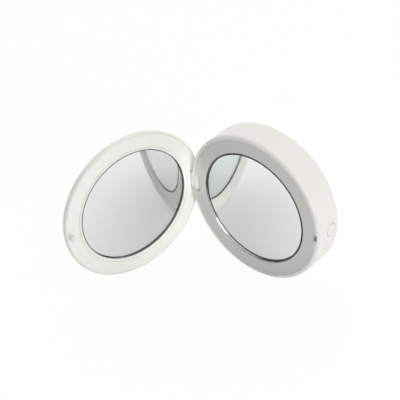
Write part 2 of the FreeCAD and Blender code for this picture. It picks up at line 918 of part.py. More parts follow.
def lid_lug(outside):
    """Hinge lug: a barrel round the pin and the web that joins it to the lid."""
    half = lug_height / 2
    low = hinge_x - lug_radius
    high = hinge_x + lug_radius
    barrel = rod(lug_radius, Vector(hinge_x, hinge_y, -half), Vector(hinge_x, hinge_y, half))
    web = slab(low, high, lid_level(0), hinge_y, half)
    root = slab(low, high, lid_level(lid_depth), lid_level(0), half).common(outside)
    return [barrel, web, root]


def lid_shell():
    """Thin cover of the lid with its ledge for the bezel and its hinge lug."""
    outside = lid_outside()
    floor = lid_level(lid_floor)
    ledge = lid_level(bezel_thickness)
    ledge_radius = inner_radius - lid_ledge_width
    hollow = turned((
        (0, floor),
        (ledge_radius, floor),
        (ledge_radius, ledge),
        (lid_rim_inner, ledge),
        (lid_rim_inner, cut_overrun),
        (0, cut_overrun),
    ))
    foot_room = slab(
        hook_outer_x - hook_foot_length - hook_fit,
        hook_outer_x + hook_fit,
        lid_level(bezel_thickness + hook_foot_thickness),
        cut_overrun,
        hook_width / 2 + hook_foot_margin + hook_fit,
    )
    below = Vector(hinge_x, hinge_y, -lug_height)
    bore = rod(pin_radius + pin_running_fit, below, Vector(hinge_x, hinge_y, lug_height))
    shell = outside.cut([hollow, foot_room]).fuse(lid_lug(outside))
    return shell.cut(bore).removeSplitter()


def lid_bezel():
    """Pale ring of the lid with the seat below the glass, notched for the lug and pierced for the hook."""
    wall_outer = bezel_inner + lid_seat_wall
    seat_inner = bezel_inner - lid_seat_width
    rim_outer = lid_rim_inner - bezel_fit
    ring = turned((
        (bezel_inner, lid_level(lid_bevel_depth)),
        (bezel_inner + lid_bevel_width, lid_level(0)),
        (rim_outer, lid_level(0)),
        (rim_outer, lid_level(bezel_thickness)),
        (wall_outer, lid_level(bezel_thickness)),
        (wall_outer, lid_level(lid_seat_bottom)),
        (seat_inner, lid_level(lid_seat_bottom)),
        (seat_inner, lid_level(tape_back)),
        (bezel_inner, lid_level(tape_back)),
    ))
    back = lid_level(lid_depth)
    notch_x = hinge_x + lug_radius + lug_bezel_gap
    lug_notch = slab(-case_radius, notch_x, back, cut_overrun, lug_height / 2 + lug_bezel_gap)
    hook_half = hook_width / 2 + hook_fit
    hook_window = slab(hook_inner_x - hook_fit, hook_outer_x + hook_fit, back, cut_overrun, hook_half)
    return ring.cut([lug_notch, hook_window])


def lid_mirror_tape():
    """Tape ring between the lid's glass and its seat."""
    inner = bezel_inner - lid_seat_width
    return turned((
        (inner, lid_level(glass_back)),
        (tape_radius, lid_level(glass_back)),
        (tape_radius, lid_level(tape_back)),
        (inner, lid_level(tape_back)),
    ))


def catch_hook():
    """Hook with its inward barb, and the foot that the lid's bezel traps."""
    root = lid_level(bezel_thickness)
    stem = extruded((
        (hook_outer_x, root),
        (hook_outer_x, hook_tip),
        (hook_inner_x, hook_tip),
        (barb_x, barb_top + barb_land),
        (barb_x, barb_top),
        (hook_inner_x, barb_top),
        (hook_inner_x, root),
    ), hook_width)
    foot_half = hook_width / 2 + hook_foot_margin
    foot_back = lid_level(bezel_thickness + hook_foot_thickness)
    foot = slab(hook_outer_x - hook_foot_length, hook_outer_x, foot_back, root, foot_half)
    return stem.fuse(foot).removeSplitter()


def base_pieces():
    """Every node of the base and its latch, in the case frame."""
    return {
        "base_shell": base_shell(),
        "base_bezel": base_bezel(),
        "base_mirror": mirror_disc(mirror_recess, glass_back),
        "base_mirror_tape": rod(tape_radius, Vector(0, glass_back, 0), Vector(0, tape_back, 0)),
        "light_carrier": light_carrier(),
        "led_board_upper": lamp_board(lamp_span_end),
        "led_board_lower": lamp_board(-lamp_span_start),
        "leds_upper": lamps(lamp_span_start),
        "leds_lower": lamps(-lamp_span_end),
        "battery_cell": battery_block(battery_front, battery_back, 0),
        "battery_pad": battery_block(battery_back, back_inside, pad_margin),
        "main_board": main_board(),
        "board_chips": board_chips(),
        "charge_socket": charge_socket(),
        "socket_tongue": socket_tongue(),
        "carrier_screws": carrier_screws(),
        "board_screws": board_screws(),
        "lamp_switch": lamp_switch(),
        "switch_plunger": switch_plunger(),
        "latch_slide": latch_slide(),
        "latch_button": latch_button(),
        "latch_spring": latch_spring(),
        "hinge_pin": hinge_pin(),
        "battery_leads": battery_leads(),
        "switch_leads": switch_leads(),
        "lamp_leads": lamp_leads(),
        "jumper_leads": jumper_leads(),
    }


def lid_pieces():
    """Every node of the lid, in the case frame and swung open."""
    closed = {
        "lid_shell": lid_shell(),
        "lid_bezel": lid_bezel(),
        "lid_mirror": mirror_disc(lid_level(glass_back), lid_level(mirror_recess)),
        "lid_mirror_tape": lid_mirror_tape(),
        "catch_hook": catch_hook(),
    }
    axis = Vector(hinge_x, hinge_y, 0)
    return {name: shape.rotated(axis, upward, -opening_angle) for name, shape in closed.items()}


def main():
    """Build the pieces, set them down at the origin and write one file for each."""
    pieces = {**base_pieces(), **lid_pieces()}
    box = Part.makeCompound(list(pieces.values())).optimalBoundingBox()
    footprint = Vector(box.Center.x, box.Center.y, box.ZMin)
    os.makedirs("parts", exist_ok=True)
    for name, shape in pieces.items():
        placed = shape.translated(-footprint)
        placed.exportStep(f"parts/{name}.step")
        counted = f"{len(placed.Solids)} solids, {placed.Volume:.2f} cubic mm"
        print(f"{name}: {counted}, valid {placed.isValid()}")
    print("hinge axis", Vector(hinge_x, hinge_y, 0) - footprint)
    print("back face centre", Vector(0, base_depth, 0) - footprint)
    print("button face centre", Vector(case_radius + button_proud, button_depth, 0) - footprint)
    print("socket mouth centre", polar(socket_mouth, board_angle, socket_depth) - footprint)
    print("overall size", box.XLength, box.YLength, box.ZLength)


main()
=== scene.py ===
"""Looks of a round compact with two mirrors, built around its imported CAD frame.

All lengths are in metres, in the frame of the CAD model. A point of either half is first given in
the half's own axes: across from the hinge to the catch, up along the hinge, and deep behind the
half's face.
"""

from __future__ import annotations

import json
import logging
import math
from dataclasses import dataclass, field
from enum import Enum

import bmesh
import bpy
from mathutils import Matrix, Vector

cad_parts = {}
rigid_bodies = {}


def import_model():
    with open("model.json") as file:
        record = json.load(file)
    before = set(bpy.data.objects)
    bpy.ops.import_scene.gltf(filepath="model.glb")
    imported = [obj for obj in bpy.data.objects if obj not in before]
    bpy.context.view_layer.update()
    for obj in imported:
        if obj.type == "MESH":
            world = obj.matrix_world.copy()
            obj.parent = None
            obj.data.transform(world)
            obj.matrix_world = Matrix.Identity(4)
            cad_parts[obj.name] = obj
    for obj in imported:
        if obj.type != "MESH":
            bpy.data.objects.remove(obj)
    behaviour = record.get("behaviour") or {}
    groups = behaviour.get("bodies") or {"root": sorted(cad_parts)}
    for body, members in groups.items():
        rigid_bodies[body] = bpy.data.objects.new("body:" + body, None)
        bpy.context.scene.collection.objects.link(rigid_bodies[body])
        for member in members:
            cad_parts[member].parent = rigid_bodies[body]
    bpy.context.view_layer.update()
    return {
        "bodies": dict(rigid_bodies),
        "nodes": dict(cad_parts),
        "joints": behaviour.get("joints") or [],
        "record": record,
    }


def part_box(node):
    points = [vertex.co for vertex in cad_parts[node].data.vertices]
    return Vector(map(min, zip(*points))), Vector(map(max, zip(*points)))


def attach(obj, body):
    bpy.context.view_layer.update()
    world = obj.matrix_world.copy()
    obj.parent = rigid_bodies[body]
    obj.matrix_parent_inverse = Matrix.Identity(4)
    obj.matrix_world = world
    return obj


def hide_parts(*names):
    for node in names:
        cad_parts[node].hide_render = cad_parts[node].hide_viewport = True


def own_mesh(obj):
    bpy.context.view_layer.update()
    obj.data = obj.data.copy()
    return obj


Colour = tuple[float, float, float]
Pair = tuple[float, float]
Triple = tuple[float, float, float]
Node = bpy.types.Node
Socket = bpy.types.NodeSocket
Piece = bpy.types.Object

LOG = logging.getLogger("compact")
FULL_TURN = 2 * math.pi
WHITE = (1.0, 1.0, 1.0, 1.0)
MIDDLE_RANGE: Pair = (0.3, 0.7)
MERGE_DISTANCE = 1e-7
SHARP_ANGLE = math.radians(10.0)
# Colour sockets of Blender's Mix node.
MIX_FIRST, MIX_SECOND, MIX_RESULT = 6, 7, 2


class Tree:
    """A node tree, with short calls that add nodes and join them."""

    def __init__(self, owner: bpy.types.Material | bpy.types.World) -> None:
        """Start with an empty tree.

        Args:
            owner: Material or world that the tree belongs to.
        """
        self.owner = owner
        owner.use_nodes = True
        self.tree = owner.node_tree
        self.tree.nodes.clear()

    def add(self, kind: str) -> Node:
        """Add a node of one kind."""
        return self.tree.nodes.new(kind)

    def join(self, source: Socket, target: Socket) -> None:
        """Link two sockets."""
        self.tree.links.new(source, target)

    def reckon(self, operation: str, first: Socket, second: Socket | float) -> Socket:
        """Result of a sum on one number and another.

        Args:
            operation: Kind of sum, as Blender's Math node names it.
            first: First number.
            second: Second number.

        Returns:
            The result.
        """
        node = self.add("ShaderNodeMath")
        node.operation = operation
        self.join(first, node.inputs[0])
        if isinstance(second, float):
            node.inputs[1].default_value = second
        else:
            self.join(second, node.inputs[1])
        return node.outputs[0]

    def mix(self, share: Socket, first: Node, second: Node, output: Node) -> None:
        """Show a mix of two shaders.

        Args:
            share: How much of the second shader there is.
            first: Shader at 0.
            second: Shader at 1.
            output: Node that shows the mix.
        """
        node = self.add("ShaderNodeMixShader")
        self.join(share, node.inputs[0])
        self.join(first.outputs[0], node.inputs[1])
        self.join(second.outputs[0], node.inputs[2])
        self.join(node.outputs[0], output.inputs["Surface"])


class Graph(Tree):
    """A material's node tree, with short calls for the textures of a finish."""

    def __init__(self, name: str) -> None:
        """Start a tree with a shader, an output and the object's own coordinates.

        Args:
            name: Name of the material.
        """
        super().__init__(bpy.data.materials.new(name))
        self.output = self.add("ShaderNodeOutputMaterial")
        self.shader = self.add("ShaderNodeBsdfPrincipled")
        self.join(self.shader.outputs[0], self.output.inputs["Surface"])
        self.place = self.add("ShaderNodeTexCoord").outputs["Object"]

    def set(self, **values: float | tuple) -> None:
        """Set constant values on the shader's own sockets, by their names with underscores for blanks."""
        for name, value in values.items():
            self.shader.inputs[name.replace("_", " ")].default_value = value

    def feed(self, socket: str, source: Socket) -> None:
        """Link a source to one of the shader's sockets."""
        self.join(source, self.shader.inputs[socket])

    def distance(self, point: Vector) -> Socket:
        """Distance from a point, in the object's own coordinates.

        Args:
            point: The point.

        Returns:
            The distance in metres.
        """
        node = self.add("ShaderNodeVectorMath")
        node.operation = "DISTANCE"
        self.join(self.place, node.inputs[0])
        node.inputs[1].default_value = point
        return node.outputs["Value"]

    def stretched(self, scale: Triple) -> Socket:
        """Object coordinates scaled along each axis.

        Args:
            scale: Factor for each axis.

        Returns:
            The scaled coordinates.
        """
        node = self.add("ShaderNodeMapping")
        node.inputs["Scale"].default_value = scale
        self.join(self.place, node.inputs["Vector"])
        return node.outputs[0]

    def noise(
        self, scale: float, detail: float = 2.0, warp: float = 0.0, place: Socket | None = None
    ) -> Socket:
        """Cloudy noise.

        Args:
            scale: Clouds per metre.
            detail: Number of finer layers.
            warp: How far the clouds are pulled out of shape.
            place: Coordinates, or None for the object's own.

        Returns:
            Noise from 0 to 1.
        """
        node = self.add("ShaderNodeTexNoise")
        node.inputs["Scale"].default_value = scale
        node.inputs["Detail"].default_value = detail
        node.inputs["Distortion"].default_value = warp
        self.join(place or self.place, node.inputs["Vector"])
        return node.outputs[0]

    def cells(self, scale: float) -> Socket:
        """Distance to the middle of the nearest of many small cells.

        Args:
            scale: Cells per metre.

        Returns:
            Distance, in cells.
        """
        node = self.add("ShaderNodeTexVoronoi")
        node.inputs["Scale"].default_value = scale
        self.join(self.place, node.inputs["Vector"])
        return node.outputs[0]

    def spread(self, value: Socket, low: float, high: float, source: Pair = MIDDLE_RANGE) -> Socket:
        """Value moved from one range to another and held there.

        Args:
            value: Number to move.
            low: Result at the start of the source range.
            high: Result at its end.
            source: Range that the value is taken from.

        Returns:
            The moved value.
        """
        node = self.add("ShaderNodeMapRange")
        node.inputs["From Min"].default_value, node.inputs["From Max"].default_value = source
        node.inputs["To Min"].default_value = low
        node.inputs["To Max"].default_value = high
        self.join(value, node.inputs["Value"])
        return node.outputs[0]

    def blend(self, share: Socket, first: Colour, second: Colour) -> Socket:
        """Colour between two colours.

        Args:
            share: How much of the second colour there is.
            first: Colour at 0.
            second: Colour at 1.

        Returns:
            The mixed colour.
        """
        node = self.add("ShaderNodeMix")
        node.data_type = "RGBA"
        node.inputs[MIX_FIRST].default_value = (*first, 1.0)
        node.inputs[MIX_SECOND].default_value = (*second, 1.0)
        self.join(share, node.inputs[0])
        return node.outputs[MIX_RESULT]

    def relief(self, height: Socket, depth: float) -> None:
        """Give the shader a bumpy surface.

        Args:
            height: Height of the surface from 0 to 1.
            depth: Depth of the bumps.
        """
        node = self.add("ShaderNodeBump")
        node.inputs["Distance"].default_value = depth
        self.join(height, node.inputs["Height"])
        self.feed("Normal", node.outputs[0])


@dataclass(frozen=True)
class Finish:
    """A surface finish that makes its own node material."""

    name: str
    colour: Colour
    second: Colour
    roughness: Pair

    def make(self) -> bpy.types.Material:
        """Build the node material.

        Returns:
            The new material.
        """
        graph = Graph(self.name)
        self.paint(graph)
        return graph.owner

    def paint(self, graph: Graph) -> None:
        """Add this finish's own nodes to a new tree."""
        raise NotImplementedError

    def cover(self, graph: Graph, marks: Socket, gloss: Socket, source: Pair = MIDDLE_RANGE) -> None:
        """Mix the two colours by one texture and the roughness by another.

        Args:
            graph: Tree that gets the nodes.
            marks: Texture of the colour.
            gloss: Texture of the roughness.
            source: Range of the marks that the colours are spread over.
        """
        share = graph.spread(marks, 0.0, 1.0, source)
        graph.feed("Base Color", graph.blend(share, self.colour, self.second))
        graph.feed("Roughness", graph.spread(gloss, *self.roughness))


@dataclass(frozen=True)
class MouldedPlastic(Finish):
    """Moulded plastic with faint flow marks and the fine texture of the mould."""

    flow_scale: float = 45.0
    flow_detail: float = 4.0
    flow_warp: float = 0.8
    gloss_ratio: float = 3.1
    gloss_detail: float = 3.0
    grain_scale: float = 3200.0
    grain_detail: float = 3.0
    grain_depth: float = 0.000008
    coat: float = 0.0

    def paint(self, graph: Graph) -> None:
        """Mix the flow marks into the colour and the grain into the surface.

        Args:
            graph: Tree that gets the nodes.
        """
        flow = graph.noise(self.flow_scale, self.flow_detail, self.flow_warp)
        self.cover(graph, flow, graph.noise(self.flow_scale * self.gloss_ratio, self.gloss_detail))
        graph.relief(graph.noise(self.grain_scale, self.grain_detail), self.grain_depth)
        graph.set(Coat_Weight=self.coat)


@dataclass(frozen=True)
class MirrorSilver(Finish):
    """Silvered glass with a hardly visible haze."""

    haze_scale: float = 60.0
    haze_detail: float = 5.0
    haze_warp: float = 0.6

    def paint(self, graph: Graph) -> None:
        """Mix the haze into the colour and the roughness of a metal.

        Args:
            graph: Tree that gets the nodes.
        """
        haze = graph.noise(self.haze_scale, self.haze_detail, self.haze_warp)
        self.cover(graph, haze, haze)
        graph.set(Metallic=1.0)


@dataclass(frozen=True)
class ClearGlass(Finish):
    """Polished face of a glass plate, with hardly visible cleaning marks."""

    mark_scale: float = 80.0
    mark_detail: float = 3.0
    mark_warp: float = 0.6
    refraction: float = 1.52

    def paint(self, graph: Graph) -> None:
        """Mix the marks into the tint and the gloss of clear glass.

        Args:
            graph: Tree that gets the nodes.
        """
        marks = graph.noise(self.mark_scale, self.mark_detail, self.mark_warp)
        self.cover(graph, marks, marks)
        graph.set(Transmission_Weight=1.0, IOR=self.refraction)


@dataclass(frozen=True)
class CutGlass(Finish):
    """Ground edge of a glass plate, with the marks of the wheel."""

    mark_scale: float = 5200.0
    mark_detail: float = 3.0
    mark_depth: float = 0.000012
    gloss_scale: float = 140.0

    def paint(self, graph: Graph) -> None:
        """Mix the grinding marks into the colour, gloss and surface.

        Args:
            graph: Tree that gets the nodes.
        """
        marks = graph.noise(self.mark_scale, self.mark_detail)
        self.cover(graph, marks, graph.noise(self.gloss_scale))
        graph.relief(marks, self.mark_depth)


@dataclass(frozen=True)
class Foam(Finish):
    """Adhesive foam with small open cells."""

    cell_scale: float = 2600.0
    cell_depth: float = 0.00012
    cell_range: Pair = (0.1, 0.7)
    gloss_scale: float = 300.0

    def paint(self, graph: Graph) -> None:
        """Mix the cells into the colour and the surface.

        Args:
            graph: Tree that gets the nodes.
        """
        cells = graph.cells(self.cell_scale)
        self.cover(graph, cells, graph.noise(self.gloss_scale), self.cell_range)
        graph.relief(cells, self.cell_depth)


@dataclass(frozen=True)
class PrintedBoard(Finish):
    """Lacquered board with conductor tracks below the lacquer."""

    track_scale: float = 260.0
    track_stretch: Triple = (1.0, 0.35, 1.0)
    track_width: float = 0.06
    track_depth: float = 0.00003
    weave_scale: float = 2400.0

    def paint(self, graph: Graph) -> None:
        """Draw the tracks and the weave of the board.

        Args:
            graph: Tree that gets the nodes.
        """
        tracks = graph.add("ShaderNodeTexBrick")
        graph.join(graph.stretched(self.track_stretch), tracks.inputs["Vector"])
        tracks.inputs["Scale"].default_value = self.track_scale
        tracks.inputs["Mortar Size"].default_value = self.track_width
        graph.feed("Base Color", graph.blend(tracks.outputs["Fac"], self.colour, self.second))
        graph.feed("Roughness", graph.spread(graph.noise(self.weave_scale), *self.roughness))
        graph.relief(tracks.outputs["Fac"], self.track_depth)


@dataclass(frozen=True)
class DrawnSteel(Finish):
    """Bright steel with fine lines from drawing or stamping."""

    line_scale: float = 900.0
    line_detail: float = 3.0
    line_stretch: Triple = (6.0, 6.0, 0.6)
    line_depth: float = 0.000006

    def paint(self, graph: Graph) -> None:
        """Mix the lines into the colour, gloss and surface of a metal.

        Args:
            graph: Tree that gets the nodes.
        """
        place = graph.stretched(self.line_stretch)
        lines = graph.noise(self.line_scale, self.line_detail, place=place)
        self.cover(graph, lines, lines)
        graph.relief(lines, self.line_depth)
        graph.set(Metallic=1.0)


@dataclass(frozen=True)
class PouchFoil(Finish):
    """Laminated foil of a flat cell, slightly crumpled."""

    crease_scale: float = 140.0
    crease_detail: float = 5.0
    crease_warp: float = 1.2
    crease_depth: float = 0.0002
    gloss_scale: float = 420.0
    metal: float = 0.85

    def paint(self, graph: Graph) -> None:
        """Mix the creases into the colour and the surface of a dull metal.

        Args:
            graph: Tree that gets the nodes.
        """
        creases = graph.noise(self.crease_scale, self.crease_detail, self.crease_warp)
        self.cover(graph, creases, graph.noise(self.gloss_scale))
        graph.relief(creases, self.crease_depth)
        graph.set(Metallic=self.metal)


class Slot(Enum):
    """Material slots of the record."""

    WHITE_PLASTIC = "white_plastic"
    DIFFUSER_PLASTIC = "diffuser_plastic"
    RING_PLASTIC = "ring_plastic"
    MIRROR_GLASS = "mirror_glass"
    FOAM_TAPE = "foam_tape"
    CARRIER_PLASTIC = "carrier_plastic"
    LAMP_BOARD = "lamp_board"
    LAMP_RESIN = "lamp_resin"
    CELL_FOIL = "cell_foil"
    CIRCUIT_BOARD = "circuit_board"
    BLACK_PLASTIC = "black_plastic"
    SLIDE_PLASTIC = "slide_plastic"
    STEEL = "steel"
    RED_INSULATION = "red_insulation"
    BLACK_INSULATION = "black_insulation"
    WHITE_INSULATION = "white_insulation"


FINISHES: dict[Slot, Finish] = {
    Slot.WHITE_PLASTIC: MouldedPlastic(
        "white_case_plastic", (0.81, 0.79, 0.76), (0.79, 0.775, 0.735), (0.30, 0.38), coat=0.1
    ),
    Slot.RING_PLASTIC: MouldedPlastic(
        "lid_ring_plastic", (0.88, 0.885, 0.845), (0.865, 0.87, 0.825), (0.40, 0.5), grain_depth=0.000014
    ),
    # Base ring: the same pale plastic as the lid's ring, with the shade of its face away from the light
    # painted into its grey colour.
    Slot.DIFFUSER_PLASTIC: MouldedPlastic(
        "milky_diffuser_plastic", (0.66, 0.665, 0.635), (0.64, 0.64, 0.61), (0.42, 0.55), grain_depth=0.000014
    ),
    Slot.MIRROR_GLASS: MirrorSilver(
        "mirror_silver", (0.885, 0.90, 0.89), (0.87, 0.89, 0.88), (0.0, 0.012)
    ),
    Slot.FOAM_TAPE: Foam(
        "foam_tape", (0.10, 0.10, 0.105), (0.045, 0.045, 0.05), (0.75, 0.9)
    ),
    Slot.CARRIER_PLASTIC: MouldedPlastic(
        "carrier_plastic", (0.80, 0.80, 0.79), (0.74, 0.74, 0.73), (0.45, 0.6)
    ),
    Slot.LAMP_BOARD: PrintedBoard(
        "lamp_board_lacquer", (0.82, 0.82, 0.80), (0.70, 0.68, 0.60), (0.35, 0.5)
    ),
    Slot.LAMP_RESIN: MouldedPlastic(
        "lamp_resin", (0.86, 0.68, 0.20), (0.78, 0.56, 0.12), (0.25, 0.4), flow_scale=900.0
    ),
    Slot.CELL_FOIL: PouchFoil(
        "cell_foil", (0.68, 0.69, 0.71), (0.52, 0.53, 0.56), (0.28, 0.42)
    ),
    Slot.CIRCUIT_BOARD: PrintedBoard(
        "board_lacquer", (0.012, 0.12, 0.045), (0.05, 0.24, 0.10), (0.25, 0.4)
    ),
    Slot.BLACK_PLASTIC: MouldedPlastic(
        "black_plastic", (0.018, 0.018, 0.02), (0.03, 0.03, 0.032), (0.4, 0.6)
    ),
    Slot.SLIDE_PLASTIC: MouldedPlastic(
        "slide_plastic", (0.76, 0.74, 0.69), (0.70, 0.68, 0.62), (0.4, 0.55)
    ),
    Slot.STEEL: DrawnSteel(
        "bright_steel", (0.66, 0.66, 0.67), (0.52, 0.52, 0.53), (0.22, 0.4)
    ),
    Slot.RED_INSULATION: MouldedPlastic(
        "red_insulation", (0.55, 0.02, 0.015), (0.42, 0.015, 0.012), (0.35, 0.5)
    ),
    Slot.BLACK_INSULATION: MouldedPlastic(
        "black_insulation", (0.014, 0.014, 0.015), (0.03, 0.03, 0.03), (0.35, 0.5)
    ),
    Slot.WHITE_INSULATION: MouldedPlastic(
        "white_insulation", (0.80, 0.80, 0.79), (0.72, 0.72, 0.70), (0.35, 0.5)
    ),
}

CLEAR_GLASS = ClearGlass("clear_glass", (0.985, 0.995, 0.99), (0.98, 0.992, 0.986), (0.0, 0.004))
# Near-black glass for the panes' bevels, edges and margins: partly the glass edge's own dark green, partly
# painted shade of the gap round each pane.
DARK_EDGE_AND_GAP_SHADE = CutGlass("cut_glass_edge", (0.010, 0.022, 0.017), (0.022, 0.045, 0.036), (0.10, 0.22))


class Paintbox:
    """Makes each finish's material once and lends it out."""

    def __init__(self) -> None:
        """Start with no material made."""
        self.made: dict[str, bpy.types.Material] = {}

    def get(self, finish: Finish) -> bpy.types.Material:
        """Material of a finish.

        Args:
            finish: The finish.

        Returns:
            Its material, made the first time it is asked for.
        """
        if finish.name not in self.made:
            self.made[finish.name] = finish.make()
        return self.made[finish.name]

    def coat(self, node: Piece, slot: Slot) -> None:
        """Give a CAD node the finish of its slot.

        Args:
            node: The node's object.
            slot: Slot whose finish it takes.
        """
        node.data.materials.clear()
        node.data.materials.append(self.get(FINISHES[slot]))
        LOG.info("dressed %s in %s", node.name, slot.value)

    def coat_nodes(self, frame: dict, nodes: dict[str, Slot]) -> None:
        """Give each of several CAD nodes the finish of its slot."""
        for name, slot in nodes.items():
            self.coat(frame["nodes"][name], slot)


class Half(Enum):
    """The two halves of the case, by the CAD body that carries them."""

    BASE = "base"
    LID = "lid"


@dataclass(frozen=True)
class CaseAxes:
    """Axes of the two halves, read from the frame."""

    face_middle: Vector
    hinge: Vector
    opening: float = math.radians(102.0)
    closed_gap: float = 0.0003

    @classmethod
    def read(cls, frame: dict, mirror_recess: float) -> CaseAxes:
        """Find the axes from the base's mirror and the hinge joint.

        Args:
            mirror_recess: Depth of the mirror behind the base's face.

        Returns:
            The axes.
        """
        low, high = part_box("base_mirror")
        middle = (low + high) / 2
        joint = next(entry for entry in frame["joints"] if entry["name"] == "lid_hinge")
        return cls(Vector((middle.x, low.y - mirror_recess, middle.z)), Vector(joint["pos_m"]))

    def matrix(self, half: Half) -> Matrix:
        """Matrix from a half's own axes (across, up, deep) to the frame.

        Args:
            half: Which half.

        Returns:
            The matrix.
        """
        if half is Half.BASE:
            axes = Matrix(((1, 0, 0, 0), (0, 0, 1, 0), (0, 1, 0, 0), (0, 0, 0, 1)))
            return Matrix.Translation(self.face_middle) @ axes
        axes = Matrix(((1, 0, 0, 0), (0, 0, -1, -self.closed_gap), (0, 1, 0, 0), (0, 0, 0, 1)))
        swing = Matrix.Translation(self.hinge) @ Matrix.Rotation(-self.opening, 4, "Z")
        return swing @ Matrix.Translation(self.face_middle - self.hinge) @ axes


def finished_mesh(mesh: bmesh.types.BMesh, name: str, matrix: Matrix) -> Piece:
    """Object from a built mesh, set in the frame and smooth between its sharp edges.

    Args:
        mesh: Built mesh, which is freed.
        name: Name of the piece.
        matrix: Matrix from the mesh's axes to the frame.

    Returns:
        The new object.
    """
    bmesh.ops.transform(mesh, matrix=matrix, verts=mesh.verts)
    bmesh.ops.remove_doubles(mesh, verts=mesh.verts, dist=MERGE_DISTANCE)
    bmesh.ops.recalc_face_normals(mesh, faces=mesh.faces)
    data = bpy.data.meshes.new(name)
    mesh.to_mesh(data)
    mesh.free()
    data.shade_smooth()
    data.set_sharp_from_angle(angle=SHARP_ANGLE)
    piece = bpy.data.objects.new(name, data)
    bpy.context.scene.collection.objects.link(piece)
    return piece


def turned(profile: list[Pair], segments: int) -> bmesh.types.BMesh:
    """Mesh turned about the third axis, closed by a cap where the profile starts and ends.

    Args:
        profile: (radius, height) points from the front to the back.
        segments: Number of steps round the axis.

    Returns:
        The mesh, with a material of its own for each cap and each stretch of the profile.
    """
    mesh = bmesh.new()
    rings = []
    for radius, height in profile:
        ring = []
        for step in range(segments):
            angle = FULL_TURN * step / segments
            ring.append(mesh.verts.new((radius * math.cos(angle), radius * math.sin(angle), height)))
        rings.append(ring)
    for level, (ring, after) in enumerate(zip(rings, rings[1:])):
        for step in range(segments):
            ahead = (step + 1) % segments
            face = mesh.faces.new((ring[step], ring[ahead], after[ahead], after[step]))
            face.material_index = level + 1
    mesh.faces.new(rings[0]).material_index = 0
    mesh.faces.new(rings[-1]).material_index = len(profile)
    return mesh


@dataclass
class MirrorPane:
    """A round mirror: clear glass whose bevel, and edge where given, are near-black glass that is partly
    painted shade of the gap round it, silvered behind but for a bare margin.

    Its front stands forward of the CAD model's glass by its rise.
    """

    half: Half
    node: str
    rise: float
    radius: float = 0.03225
    recess: float = 0.0006
    thickness: float = 0.00148
    bevel_width: float = 0.0006
    bevel_depth: float = 0.00035
    margin: float = 0.0002
    margin_slope: float = 0.8
    edge: Finish = DARK_EDGE_AND_GAP_SHADE
    segments: int = 288

    def build(self, axes: CaseAxes) -> Piece:
        """Build the pane in its half.

        Args:
            axes: Axes of the two halves.

        Returns:
            The new piece.
        """
        front = self.recess - self.rise
        back = self.recess + self.thickness
        profile = [
            (self.radius - self.bevel_width, front),
            (self.radius, front + self.bevel_depth),
            (self.radius, back - self.margin * self.margin_slope),
            (self.radius - self.margin, back),
        ]
        mesh = turned(profile, self.segments)
        piece = finished_mesh(mesh, f"{self.half.value}_mirror_pane", axes.matrix(self.half))
        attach(piece, self.half.value)
        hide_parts(self.node)
        LOG.info("built %s", piece.name)
        return piece

    def dress(self, piece: Piece, paints: Paintbox) -> None:
        """Leave the face clear, finish the bevel and the edge, and silver the back."""
        for finish in (CLEAR_GLASS, DARK_EDGE_AND_GAP_SHADE, self.edge, DARK_EDGE_AND_GAP_SHADE, FINISHES[Slot.MIRROR_GLASS]):
            piece.data.materials.append(paints.get(finish))


@dataclass(frozen=True)
class Cutout:
    """A straight-sided opening in a ring: a notch in its outer edge, or a window with a rim outside it."""

    angle: float
    half_width: float
    inner: float
    outer: float = math.inf
    steps: int = 4

    def point(self, across: float, sideways: float) -> Pair:
        """Point in the ring's plane, from its place along and beside the opening's middle line."""
        cosine, sine = math.cos(self.angle), math.sin(self.angle)
        return across * cosine - sideways * sine, across * sine + sideways * cosine


